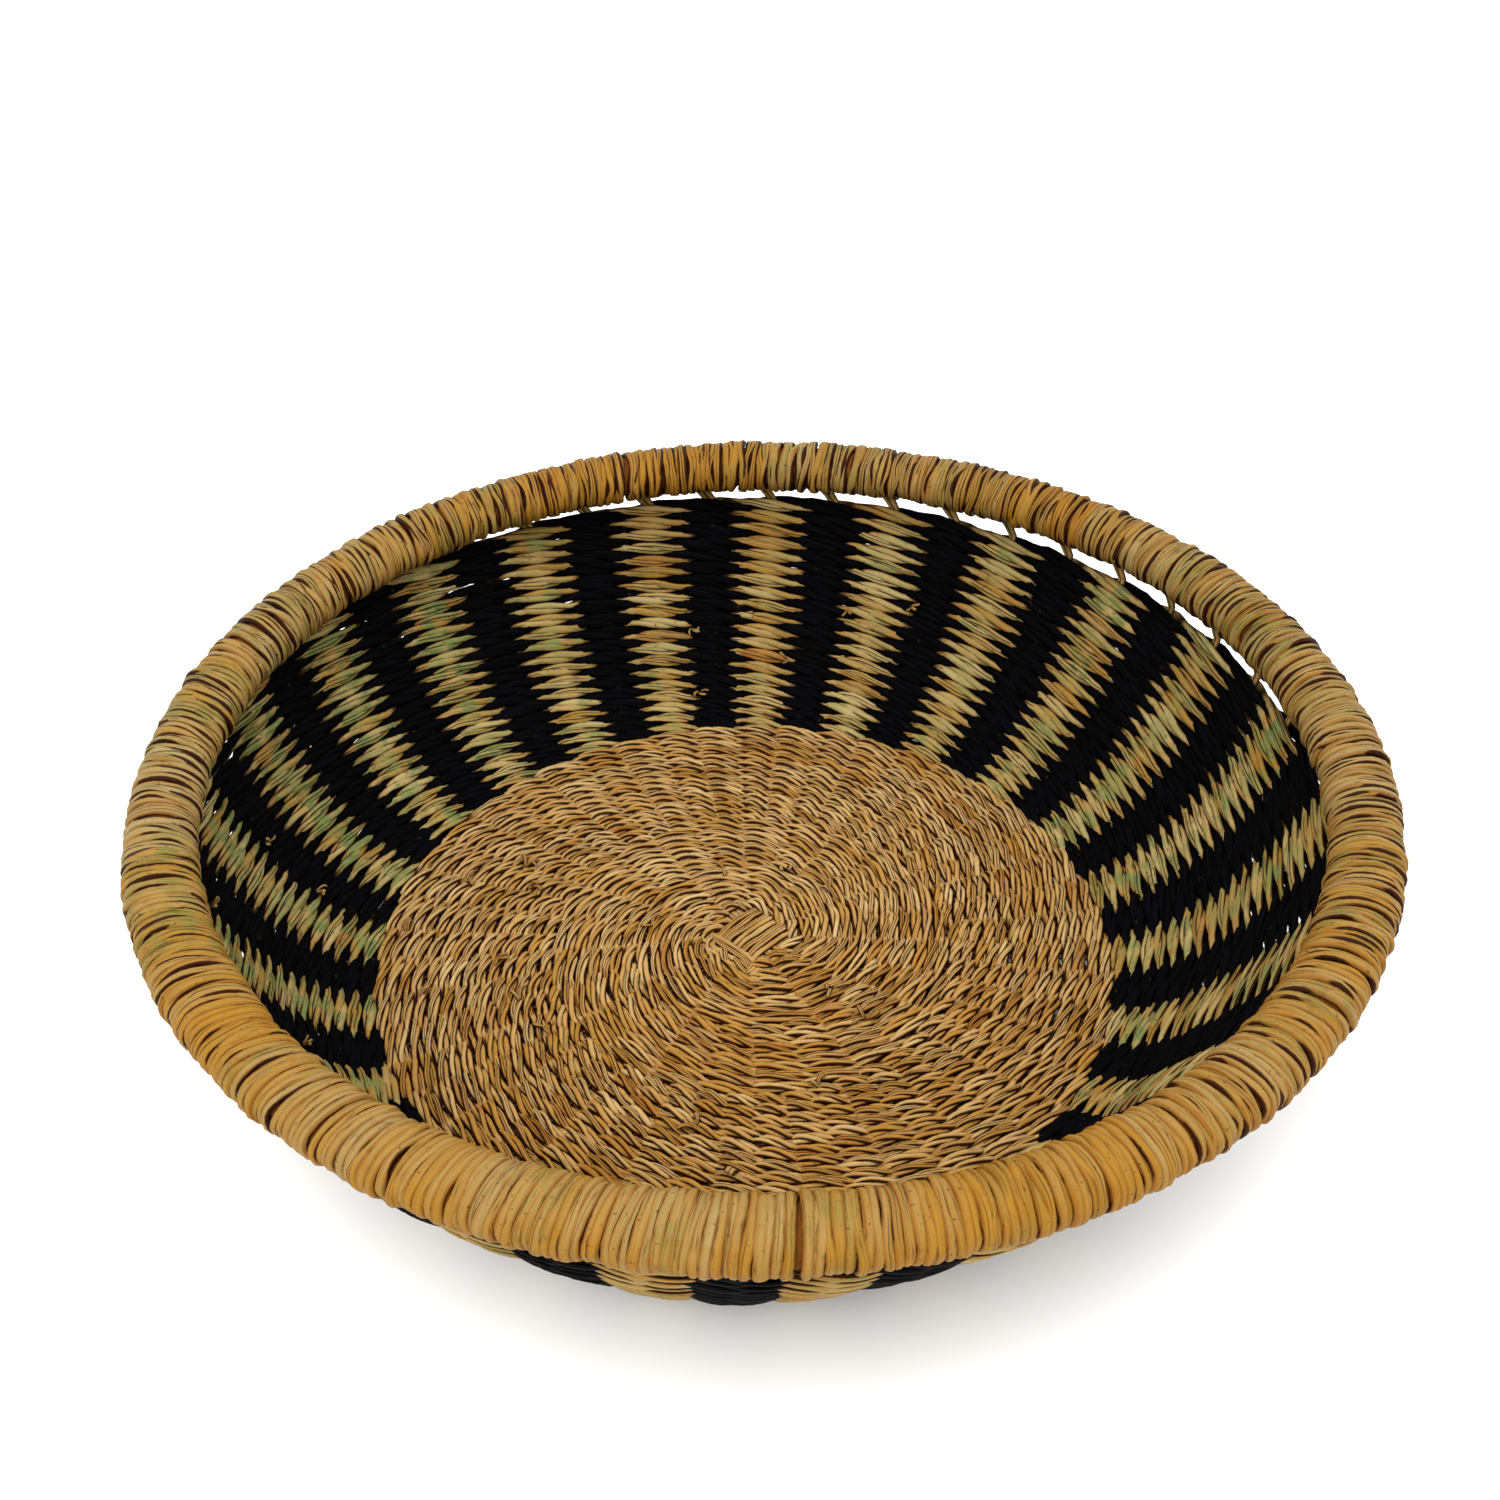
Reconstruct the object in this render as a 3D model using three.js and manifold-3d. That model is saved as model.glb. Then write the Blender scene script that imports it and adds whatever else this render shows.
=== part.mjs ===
// A twined grass bowl: 24 grass stakes cross at the middle of the base and run out to the rim,
// a pair of weft strands locks them in the base and in the two-tone side, and their ends bend into
// an oval rim core that 24 lengths of grass are wound round.
// Millimetres, +Z up. The origin is under the middle of the rim, on the surface the bowl stands on.
import * as THREE from "three";
import { mergeVertices } from "three/addons/utils/BufferGeometryUtils.js";
import Module from "manifold-3d";

const wasm = await Module();
wasm.setup();

// Driving sizes of the bowl
const rimRadius = 190; // centreline of the rim
const rimCentreHeight = 90; // centreline of the rim above the table
const rimWidth = 23;
const rimHeight = 18;
const openBand = 5.6; // bare stakes between the last row and the rim
const baseRadius = 126; // where the base turns up into the side
const sideRowsShare = 0.5; // share of the side's run that its lower rows take
const domeSlope = 0.08; // rise of the base from its flat ring to its middle, per mm of radius
const bundleRowsEnd = 41; // rows inside this radius go round bundles of four stakes
const pairRowsEnd = 69; // and inside this one round pairs, past it round single stakes

// Grass sizes
const stakeWidth = 1.8;
const stakeThickness = 1.8;
const crossWidth = 1.5; // the stakes are pressed thinner where they cross
const crossThickness = 1.6;
const strandThickness = 1.4;
const wrapThickness = 1.8;

// Clearances
const clearance = 0.3; // between pieces that touch on the real bowl
const layerGap = 0.4; // between a stake and the flat facets of the strands on both sides of it

// Counts
const stakesPerBundle = 4;
const bundlesPerWay = 3;
const pairsPerBundle = stakesPerBundle / 2;
const stakesPerWay = stakesPerBundle * bundlesPerWay;
const bundleEnds = 4 * bundlesPerWay;
const pairEnds = bundleEnds * pairsPerBundle;
const stakeEnds = 4 * stakesPerWay;
const wrapCount = 24;
const facetsPerWrap = 2;
const cornerSides = 8; // corners of the rim's faceted oval

// Shape of the side, as shares of its run and its rise
const baseHandleShare = 0.5;
const rimHandleShare = 0.12;
const rimHandleRiseShare = 0.4;
const topInset = 1; // the last row stands this far inside the rim's centreline

// The side is pushed in a little to the left and to the right of the front
const dents = [
  { angle: THREE.MathUtils.degToRad(-130), depth: 10 },
  { angle: THREE.MathUtils.degToRad(-50), depth: 14 },
];
const dentSpread = THREE.MathUtils.degToRad(28);

// How far a strand runs flat over its stakes before it crosses to the other face, as a share of
// the spacing of the stakes. The bundles are wide, so their strands cross in a shorter stretch.
const flatShare = 0.72;
const bundleFlatShare = 0.84;

// The stakes lean along the rim in the open band, and their tails lie under the rim core.
const leanRun = 7;
const tailRun = 17;

// Turn of the whole weave about +Z: one way of the crossing runs diagonally to the front
const weaveTurn = THREE.MathUtils.degToRad(46.95);

// The base has settled this far to the left of the rim's middle and to the back of it
const settledLeft = 6;
const settledBack = 3;

// Sizes that follow
const stakePitch = stakeWidth + clearance;
const weaveThickness = stakeThickness + 2 * (layerGap + strandThickness);
const strandOffset = stakeThickness / 2 + layerGap + strandThickness / 2;
const crossPitch = crossWidth + clearance;
const crossOffset = (crossThickness + clearance) / 2;
const bundleWidth = stakesPerBundle * crossPitch - clearance;
const crossGap = 1.75 * crossThickness; // room for a stake to dive from the top to the underside
const bundleStep = bundleWidth + crossGap;
const crossHalf = (bundlesPerWay * bundleStep - crossGap) / 2;
const armBundleWidth = stakesPerBundle * stakePitch - clearance;
const bundleFits = armBundleWidth / 2 / Math.tan((bundleFlatShare * Math.PI) / bundleEnds) + clearance;
const bundleRowsStart = Math.max(crossHalf * Math.SQRT2 + 4 * clearance, bundleFits);
const innerEdge = clearance / 2; // a zone of rows stops this far short of the next one
const restRadius = (pairRowsEnd + baseRadius) / 2 - innerEdge; // the flat ring starts here
const rimBottom = rimCentreHeight - rimHeight / 2;
const sideTop = rimBottom - openBand;
const endSpacing = (2 * Math.PI) / stakeEnds;

const grass = {
  stake: new THREE.MeshStandardMaterial({ color: 0xb3a052, roughness: 0.75, metalness: 0 }),
  base: new THREE.MeshStandardMaterial({ color: 0xc09a55, roughness: 0.8, metalness: 0 }),
  side: new THREE.MeshStandardMaterial({ color: 0xb39a4e, roughness: 0.75, metalness: 0 }),
  black: new THREE.MeshStandardMaterial({ color: 0x0d0e12, roughness: 0.55, metalness: 0 }),
  wrap: new THREE.MeshStandardMaterial({ color: 0xb3974a, roughness: 0.7, metalness: 0 }),
  core: new THREE.MeshStandardMaterial({ color: 0x9c8344, roughness: 0.85, metalness: 0 }),
};

const bowl = new THREE.Group();
bowl.name = "basket_bowl";

// Slants the bowl so that its base lies off the rim's middle
const settling = new THREE.Matrix4().set(
  1, 0, settledLeft / rimCentreHeight, -settledLeft,
  0, 1, -settledBack / rimCentreHeight, settledBack,
  0, 0, 1, 0,
  0, 0, 0, 1,
);

function addPiece(name, geometry, material) {
  geometry.applyMatrix4(settling);
  geometry.computeVertexNormals();
  const mesh = new THREE.Mesh(geometry, material);
  mesh.name = name;
  bowl.add(mesh);
}

// A closed surface from corner points and faces of four corners, each seen anticlockwise from outside
function surface(points, quads) {
  const geometry = new THREE.BufferGeometry();
  geometry.setAttribute(
    "position",
    new THREE.Float32BufferAttribute(points.flatMap((p) => [p.x, p.y, p.z]), 3),
  );
  geometry.setIndex(quads.flatMap(([a, b, c, d]) => [a, b, c, a, c, d]));
  return geometry;
}

// A rod through rings of four corners, closed at both ends
function rod(rings) {
  const quads = [[3, 2, 1, 0]];
  for (let i = 0; i + 1 < rings.length; i++)
    for (let k = 0; k < 4; k++) {
      const next = (k + 1) % 4;
      quads.push([4 * i + k, 4 * i + next, 4 * i + 4 + next, 4 * i + 4 + k]);
    }
  const last = 4 * (rings.length - 1);
  quads.push([last, last + 1, last + 2, last + 3]);
  return surface(rings.flat(), quads);
}

// three.js geometry to a manifold solid, and back
function solidOf(geometry) {
  const bare = new THREE.BufferGeometry();
  bare.setAttribute("position", geometry.getAttribute("position"));
  bare.setIndex(geometry.getIndex());
  const merged = mergeVertices(bare, 1e-4);
  return new wasm.Manifold(
    new wasm.Mesh({
      numProp: 3,
      vertProperties: merged.attributes.position.array,
      triVerts: new Uint32Array(merged.index.array),
    }),
  );
}

function geometryOf(solid) {
  const mesh = solid.getMesh();
  const geometry = new THREE.BufferGeometry();
  geometry.setAttribute("position", new THREE.Float32BufferAttribute(mesh.vertProperties, 3));
  geometry.setIndex(new THREE.BufferAttribute(mesh.triVerts, 1));
  return geometry;
}

// The middle of the weave: a shallow cone over the base, a flat ring, then a curve up to the rim.
// A dent pushes the side in between its foot and its top.
function baseHeight(radius) {
  return weaveThickness / 2 + Math.max(0, restRadius - radius) * domeSlope;
}

const sideRun = rimRadius - topInset - baseRadius;
const sideRise = sideTop - weaveThickness / 2;
const sideCurve = new THREE.CubicBezierCurve(
  new THREE.Vector2(baseRadius, weaveThickness / 2),
  new THREE.Vector2(baseRadius + baseHandleShare * sideRun, weaveThickness / 2),
  new THREE.Vector2(rimRadius - topInset - rimHandleShare * sideRun, sideTop - rimHandleRiseShare * sideRise),
  new THREE.Vector2(rimRadius - topInset, sideTop),
);

// A point of the weave's middle with its direction outwards along the weave, and the share of a
// dent's depth that it takes with how fast that share grows along the weave
function basePoint(radius) {
  return { r: radius, z: baseHeight(radius), along: new THREE.Vector2(1, 0), dented: 0, dentGrowth: 0 };
}

function sidePoint(share) {
  const at = sideCurve.getPointAt(share);
  const dented = Math.sin(Math.PI * share) ** 2;
  const dentGrowth = (Math.PI * Math.sin(2 * Math.PI * share)) / sideCurve.getLength();
  return { r: at.x, z: at.y, along: sideCurve.getTangentAt(share), dented, dentGrowth };
}

function dentDepth(angle) {
  let depth = 0;
  for (const dent of dents) {
    const away = THREE.MathUtils.euclideanModulo(angle - dent.angle + Math.PI, 2 * Math.PI) - Math.PI;
    depth += dent.depth * Math.exp(-((away / dentSpread) ** 2));
  }
  return depth;
}

// The point where a dent of a depth has pushed it in, with the normal that faces into the bowl
function pushedIn(point, depth) {
  const run = point.along.x - depth * point.dentGrowth;
  const length = Math.hypot(run, point.along.y);
  return { r: point.r - depth * point.dented, z: point.z, nr: -point.along.y / length, nz: run / length };
}

function weavePosition(point, offset, angle) {
  const at = pushedIn(point, dentDepth(angle));
  const radius = at.r + offset * at.nr;
  return new THREE.Vector3(radius * Math.cos(angle), radius * Math.sin(angle), at.z + offset * at.nz);
}

// One strand of a twined pair, all its rows as one zigzag band. It lies flat over every second
// group of stakes and under the others, and crosses its partner between them: on one half of the
// band's width it has the crossing and its partner has a slot, and on the other half the reverse.
function twinedStrand({ profile, groups, overFirst, crossFrom, crossTo, share }) {
  const spacing = (2 * Math.PI) / groups;
  const firstGroup = weaveTurn + ((groups / 4) % 2 === 0 ? spacing / 2 : 0);
  const levels = profile.length;
  const points = [];
  for (const face of [1, -1])
    for (const level of profile)
      for (let group = 0; group < groups; group++) {
        const over = (group % 2 === 0) === overFirst ? 1 : -1;
        const offset = over * strandOffset + (face * strandThickness) / 2;
        for (const edge of [-0.5, 0.5])
          points.push(weavePosition(level, offset, firstGroup + (group + edge * share) * spacing));
      }
  // Corners are numbered by face (0 inside the bowl, 1 outside), level and edge of a group
  const at = (face, level, edge) => (face * levels + level) * 2 * groups + (edge % (2 * groups));
  const quads = [];
  const startCap = (level, left, right) =>
    quads.push([at(0, level, left), at(0, level, right), at(1, level, right), at(1, level, left)]);
  const endCap = (level, left, right) =>
    quads.push([at(1, level, left), at(1, level, right), at(0, level, right), at(0, level, left)]);
  const facet = (level, left, right) => {
    const up = level + 1;
    quads.push([at(0, level, left), at(0, up, left), at(0, up, right), at(0, level, right)]);
    quads.push([at(1, level, left), at(1, level, right), at(1, up, right), at(1, up, left)]);
  };
  const slotSides = (level, left, right) => {
    const up = level + 1;
    quads.push([at(0, level, left), at(0, up, left), at(1, up, left), at(1, level, left)]);
    quads.push([at(0, level, right), at(1, level, right), at(1, up, right), at(0, up, right)]);
  };
  for (let group = 0; group < groups; group++) {
    const [left, right, nextLeft] = [2 * group, 2 * group + 1, 2 * group + 2];
    startCap(0, left, right);
    startCap(crossFrom, right, nextLeft);
    for (let level = 0; level + 1 < levels; level++) {
      facet(level, left, right);
      if (level >= crossFrom && level < crossTo) facet(level, right, nextLeft);
      else slotSides(level, right, nextLeft);
    }
    endCap(crossTo, right, nextLeft);
    endCap(levels - 1, left, right);
  }
  return surface(points, quads);
}

// Both strands of a zone of rows. They share the crossings half and half, with a clearance between.
function twinedPair({ names, materials, pointAt, from, to, groups, share, steps, trim }) {
  const middle = steps / 2;
  const profileWith = (shift) => {
    const profile = [];
    for (let step = 0; step <= steps; step++)
      profile.push(pointAt(from + ((to - from) * step) / steps + (step === middle ? shift : 0)));
    return profile;
  };
  const first = { profile: profileWith(-trim), overFirst: true, crossFrom: 0, crossTo: middle };
  const second = { profile: profileWith(trim), overFirst: false, crossFrom: middle, crossTo: steps };
  addPiece(names[0], twinedStrand({ ...first, groups, share }), materials[0]);
  addPiece(names[1], twinedStrand({ ...second, groups, share }), materials[1]);
}

// Stakes. Each one runs from the rim across the base to the rim on the other side.
const tailHeight = rimBottom + wrapThickness + clearance + stakeWidth / 2;
const sideStops = [0, sideRowsShare / 2, sideRowsShare, (1 + sideRowsShare) / 2];

// Four corners round a point, across the stake's width and through its thickness
function ringAt(centre, across, through, width, thickness) {
  const w = across.clone().multiplyScalar(width / 2);
  const t = through.clone().multiplyScalar(thickness / 2);
  return [
    centre.clone().sub(w).sub(t),
    centre.clone().add(w).sub(t),
    centre.clone().add(w).add(t),
    centre.clone().sub(w).add(t),
  ];
}

// A ring on the weave's middle at a polar angle, moved sideways by a stake's place in its pair
function weaveRing(point, angle, sideways) {
  const radial = new THREE.Vector3(Math.cos(angle), Math.sin(angle), 0);
  // In a dent the stake lies against the flat facets of the strands, halfway along them
  const halfFlat = (flatShare * endSpacing) / 2;
  const [left, right] = [dentDepth(angle + halfFlat), dentDepth(angle - halfFlat)];
  const at = pushedIn(point, (left + right) / 2);
  const across = new THREE.Vector3(-radial.y, radial.x, 0);
  across.addScaledVector(radial, ((right - left) * point.dented) / (2 * halfFlat * at.r)).normalize();
  const through = radial.clone().multiplyScalar(at.nr).setZ(at.nz);
  const centre = radial.clone().multiplyScalar(at.r).setZ(at.z).addScaledVector(across, sideways);
  return ringAt(centre, across, through, stakeWidth, stakeThickness);
}

// The leaning stretch in the open band and the tail under the rim core, fattened by a margin
function endRings(angle, margin) {
  const radial = new THREE.Vector3(Math.cos(angle), Math.sin(angle), 0);
  const along = new THREE.Vector3(-radial.y, radial.x, 0);
  const up = new THREE.Vector3(0, 0, 1);
  const foot = radial.clone().multiplyScalar(sidePoint(1).r).setZ(sideTop);
  const bend = radial.clone().multiplyScalar(rimRadius).addScaledVector(along, leanRun).setZ(tailHeight);
  const tip = bend.clone().addScaledVector(along, tailRun);
  const inward = (p) => p.addScaledVector(radial, -((p.dot(along) ** 2) / (2 * rimRadius)));
  const lean = bend.clone().sub(foot).normalize();
  const half = lean.clone().add(along).normalize();
  const mitre = 1 / half.dot(along);
  const through = radial.clone().negate();
  const across = (direction) => direction.clone().cross(radial);
  const width = stakeWidth + 2 * margin;
  const thickness = stakeThickness + 2 * margin;
  return [
    ringAt(foot, across(up), through, width, thickness),
    ringAt(inward(bend), across(half), through, width * mitre, thickness),
    ringAt(inward(tip), across(along), through, width, thickness),
  ];
}

// The arm of a stake from the edge of the crossing out to the rim. way is the direction that it
// leaves in, and place counts the stakes of that way from its right side to its left.
const bundleOf = (place) => Math.floor(place / stakesPerBundle) - (bundlesPerWay - 1) / 2;
const rankOf = (place) => place % stakesPerBundle;

function armAngle(way, place) {
  const inBundle = rankOf(place) - (stakesPerBundle - 1) / 2;
  return way + (bundleOf(place) * 2 * Math.PI) / bundleEnds + inBundle * endSpacing;
}

function stakeArm(way, place) {
  const bundleAngle = way + (bundleOf(place) * 2 * Math.PI) / bundleEnds;
  const inBundle = rankOf(place) - (stakesPerBundle - 1) / 2;
  const pairInBundle = Math.floor(rankOf(place) / 2) - (pairsPerBundle - 1) / 2;
  const pairAngle = bundleAngle + pairInBundle * 2 * endSpacing;
  const inPair = (rankOf(place) % 2) - 0.5;
  const single = armAngle(way, place);
  return [
    weaveRing(basePoint(bundleRowsStart), bundleAngle, inBundle * stakePitch),
    weaveRing(basePoint(bundleRowsEnd), pairAngle, inPair * stakePitch),
    weaveRing(basePoint(pairRowsEnd), single, 0),
    weaveRing(basePoint(restRadius), single, 0),
    ...sideStops.map((share) => weaveRing(sidePoint(share), single, 0)),
    ...endRings(single, 0),
  ];
}

// Rings of a stake over and under the bundles of the other way, in the direction of its way
function crossingRings(way, place, overEven) {
  const ahead = new THREE.Vector3(Math.cos(way), Math.sin(way), 0);
  const across = new THREE.Vector3(-ahead.y, ahead.x, 0);
  const up = new THREE.Vector3(0, 0, 1);
  const inBundle = rankOf(place) - (stakesPerBundle - 1) / 2;
  const lateral = bundleOf(place) * bundleStep + inBundle * crossPitch;
  const rings = [];
  for (let crossed = 0; crossed < bundlesPerWay; crossed++) {
    const even = (crossed + Math.floor(place / stakesPerBundle)) % 2 === 0;
    const height = baseHeight(bundleRowsStart) + (even === overEven ? crossOffset : -crossOffset);
    const middle = (crossed - (bundlesPerWay - 1) / 2) * bundleStep;
    for (const reach of [middle - bundleWidth / 2, middle + bundleWidth / 2]) {
      const centre = ahead.clone().multiplyScalar(reach).addScaledVector(across, lateral);
      rings.push(ringAt(centre.setZ(height), across, up, crossWidth, crossThickness));
    }
  }
  return rings;
}

// A ring of the arm that leaves the other way, turned to run in this way's direction
const turned = ([a, b, c, d]) => [b, a, d, c];

const stakeAngles = [];
for (const [letter, way, overEven] of [
  ["a", weaveTurn, true],
  ["b", weaveTurn + Math.PI / 2, bundlesPerWay % 2 === 0],
])
  for (let place = 0; place < stakesPerWay; place++) {
    const otherWay = way + Math.PI;
    const otherPlace = stakesPerWay - 1 - place;
    const rings = [
      ...stakeArm(otherWay, otherPlace).map(turned).reverse(),
      ...crossingRings(way, place, overEven),
      ...stakeArm(way, place),
    ];
    stakeAngles.push(armAngle(way, place), armAngle(otherWay, otherPlace));
    addPiece(`stake_${letter}${String(place + 1).padStart(2, "0")}`, rod(rings), grass.stake);
  }

// Weft of the base, in three zones, and of the side
twinedPair({
  names: ["base_weft_bundles_first", "base_weft_bundles_second"],
  materials: [grass.base, grass.base],
  pointAt: basePoint,
  from: bundleRowsStart,
  to: bundleRowsEnd - innerEdge,
  groups: bundleEnds,
  share: bundleFlatShare,
  steps: 2,
  trim: innerEdge,
});
twinedPair({
  names: ["base_weft_pairs_first", "base_weft_pairs_second"],
  materials: [grass.base, grass.base],
  pointAt: basePoint,
  from: bundleRowsEnd + innerEdge,
  to: pairRowsEnd - innerEdge,
  groups: pairEnds,
  share: flatShare,
  steps: 2,
  trim: innerEdge,
});
twinedPair({
  names: ["base_weft_singles_first", "base_weft_singles_second"],
  materials: [grass.base, grass.base],
  pointAt: basePoint,
  from: pairRowsEnd + innerEdge,
  to: baseRadius - innerEdge,
  groups: stakeEnds,
  share: flatShare,
  steps: 2,
  trim: innerEdge,
});
const sideTrim = innerEdge / sideCurve.getLength();
twinedPair({
  names: ["side_weft_black_lower", "side_weft_natural_lower"],
  materials: [grass.black, grass.side],
  pointAt: sidePoint,
  from: sideTrim,
  to: sideRowsShare - sideTrim,
  groups: stakeEnds,
  share: flatShare,
  steps: 2,
  trim: sideTrim,
});
twinedPair({
  names: ["side_weft_black_upper", "side_weft_natural_upper"],
  materials: [grass.black, grass.side],
  pointAt: sidePoint,
  from: sideRowsShare + sideTrim,
  to: 1,
  groups: stakeEnds,
  share: flatShare,
  steps: 2,
  trim: sideTrim,
});

// Rim. Corners of an oval whose flat facets touch the given width and height
function oval(width, height) {
  const grow = 1 / Math.cos(Math.PI / cornerSides);
  const corners = [];
  for (let i = 0; i < cornerSides; i++) {
    const turn = ((i + 0.5) * 2 * Math.PI) / cornerSides;
    corners.push(
      new THREE.Vector2(
        rimRadius + (width / 2) * grow * Math.cos(turn),
        rimCentreHeight + (height / 2) * grow * Math.sin(turn),
      ),
    );
  }
  return corners;
}

// The stakes come up through the wrapping this far round from their feet, midway between facets
stakeAngles.sort((a, b) => a - b);
const passage = (leanRun * (wrapThickness / 2 + openBand)) / (tailHeight - sideTop) / rimRadius;
const firstWrapEdge = stakeAngles[0] + passage - endSpacing / 2;

function hoop(corners) {
  const closed = [...corners, corners[0].clone()];
  const start = firstWrapEdge + Math.PI / 2;
  return new THREE.LatheGeometry(closed, wrapCount * facetsPerWrap, start).rotateX(Math.PI / 2);
}

// The core is the oval inside the wrapping, flat below where the stakes' tails lie
const wrapInside = [rimWidth - 2 * wrapThickness, rimHeight - 2 * wrapThickness];
const coreBottom = tailHeight + stakeWidth / 2 + clearance;
const coreCorners = oval(wrapInside[0] - 2 * clearance, wrapInside[1] - 2 * clearance);
const coreBlank = solidOf(hoop(coreCorners));
const coreCut = solidOf(
  new THREE.CylinderGeometry(rimRadius + rimWidth, rimRadius + rimWidth, rimHeight)
    .rotateX(Math.PI / 2)
    .translate(0, 0, coreBottom - rimHeight / 2),
);
addPiece("rim_core", geometryOf(coreBlank.subtract(coreCut)), grass.core);

// Each wrap is one length of grass wound round the core, as a sleeve that lets the stakes through
const sleeveRing = solidOf(hoop(oval(rimWidth, rimHeight))).subtract(solidOf(hoop(oval(...wrapInside))));
const wrapAngle = (2 * Math.PI) / wrapCount;
const passages = stakeAngles.map((angle) => {
  const [foot, bend] = endRings(angle, clearance);
  return { angle: angle + passage, hole: solidOf(rod([foot, bend])) };
});

// The wedge between two polar angles, each side drawn in by a trim
function wedge(from, to, trim) {
  const reach = 1.5 * rimRadius;
  const outline = new THREE.Shape();
  outline.moveTo(-trim * Math.sin(from), trim * Math.cos(from));
  outline.lineTo(
    reach * Math.cos(from) - trim * Math.sin(from),
    reach * Math.sin(from) + trim * Math.cos(from),
  );
  outline.lineTo(
    reach * Math.cos(to) + trim * Math.sin(to),
    reach * Math.sin(to) - trim * Math.cos(to),
  );
  return new THREE.ExtrudeGeometry(outline, { depth: 2 * rimHeight, bevelEnabled: false }).translate(
    0,
    0,
    rimCentreHeight - rimHeight,
  );
}

for (let wrap = 0; wrap < wrapCount; wrap++) {
  const from = firstWrapEdge + wrap * wrapAngle;
  const to = from + wrapAngle;
  let sleeve = sleeveRing.intersect(solidOf(wedge(from, to, clearance / 2)));
  for (const { angle, hole } of passages) if (angle > from && angle < to) sleeve = sleeve.subtract(hole);
  addPiece(`rim_wrap_${String(wrap + 1).padStart(2, "0")}`, geometryOf(sleeve), grass.wrap);
}

export default bowl;
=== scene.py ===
import math
from dataclasses import dataclass

import bmesh
import bpy
import numpy as np
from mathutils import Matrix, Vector, geometry


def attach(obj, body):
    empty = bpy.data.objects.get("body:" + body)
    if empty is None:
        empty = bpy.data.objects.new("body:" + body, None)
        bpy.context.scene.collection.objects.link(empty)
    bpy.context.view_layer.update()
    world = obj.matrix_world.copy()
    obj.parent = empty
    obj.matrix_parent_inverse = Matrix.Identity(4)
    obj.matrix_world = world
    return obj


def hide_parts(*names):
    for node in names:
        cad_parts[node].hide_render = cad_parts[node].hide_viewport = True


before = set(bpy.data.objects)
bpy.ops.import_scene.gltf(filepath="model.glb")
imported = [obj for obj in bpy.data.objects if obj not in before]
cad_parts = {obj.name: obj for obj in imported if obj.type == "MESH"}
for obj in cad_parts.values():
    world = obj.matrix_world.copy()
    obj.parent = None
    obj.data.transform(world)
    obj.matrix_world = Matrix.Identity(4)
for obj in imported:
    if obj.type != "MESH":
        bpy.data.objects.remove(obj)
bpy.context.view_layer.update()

# A round shallow bowl twined from grass: a plain base, a side with black and natural stripes, an open band
# of bare stakes, and a rim wound with grass. Metres, +Z up. The origin is under the middle of the rim, on
# the surface the bowl stands on.
MM = 0.001
TURN = 2 * math.pi

# Driving sizes of the bowl, whose base is a low dome that stands on a ring
RIM_RADIUS = 190 * MM
RIM_HEIGHT = 90 * MM
RIM_WIDTH = 23 * MM
RIM_DEPTH = 18 * MM
OPEN_BAND = 5.6 * MM
BASE_RADIUS = 126 * MM
REST_RADIUS = 97.35 * MM
DOME_SLOPE = 0.08
HALF_WALL = 2.7 * MM
SETTLED_LEFT = 6 * MM
SETTLED_BACK = 3 * MM
FRONT_LIFT = 1.5 * MM
FLOOR_GAP = 0.05 * MM

# The side's curve from the base to the rim, with its handles as shares of its run and rise
TOP_INSET = 1 * MM
ABOVE_TOP = 6 * MM
SIDE_SAMPLES = 200
SLOPE_SAMPLES = 9
BASE_HANDLE, RIM_HANDLE, RIM_HANDLE_RISE = 0.5, 0.12, 0.4

# The side is pushed in a little to the left and to the right of the front
DENTS = ((math.radians(-130), 10 * MM), (math.radians(-50), 14 * MM))
DENT_SPREAD = math.radians(28)

# Stakes: 24 of them in bundles of four, three bundles each way, 48 ends at the rim
STAKES_PER_BUNDLE = 4
BUNDLES_PER_WAY = 3
STAKES_PER_WAY = STAKES_PER_BUNDLE * BUNDLES_PER_WAY
BUNDLE_ENDS = 4 * BUNDLES_PER_WAY
PAIR_ENDS = 2 * BUNDLE_ENDS
STAKE_ENDS = 4 * STAKES_PER_WAY
END_SPACING = TURN / STAKE_ENDS
WEAVE_DEGREES = 46.95
WEAVE_TURN = math.radians(WEAVE_DEGREES)
STAKE_PITCH = 2.1 * MM

# A bare end leans round the bowl on its way up to the rim, and its tail runs on under the rim's core
LEAN_RUN = 7 * MM
TAIL_RUN = 17 * MM
TAIL_HEIGHT = 84 * MM

# The plait where the stakes cross, drawn tight by the first rows: the bundles' spacing in each way,
# how far it lies off the bowl's middle along and to the left of the first way, and how it rises
PLAIT_STEPS = (9.6 * MM, 8 * MM)
PLAIT_ALONG, PLAIT_LEFT = -3 * MM, -5 * MM
PLAIT_REACH = 13 * MM
PLAIT_RISE = 1.2 * MM

# Rows of weft, as distances from the bowl's middle along the wall
BUNDLE_ROWS_START = 19.8 * MM
PAIR_ROWS_START = 41 * MM
SINGLE_ROWS_START = 69 * MM
INNER_TURNS = 1.75  # inside the start of the rows, close round the plait

# Rim wrapping
WRAP_COUNT = 24
TURNS_PER_WRAP = 21
FIRST_WRAP_EDGE = math.radians(-0.16)

rng = np.random.default_rng(seed=11)


# The wall

def evened(values, samples):
    """A line of values, each averaged with its neighbours."""
    edged = np.pad(values, samples // 2, mode="edge")
    return np.convolve(edged, np.ones(samples) / samples, mode="valid")


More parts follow.
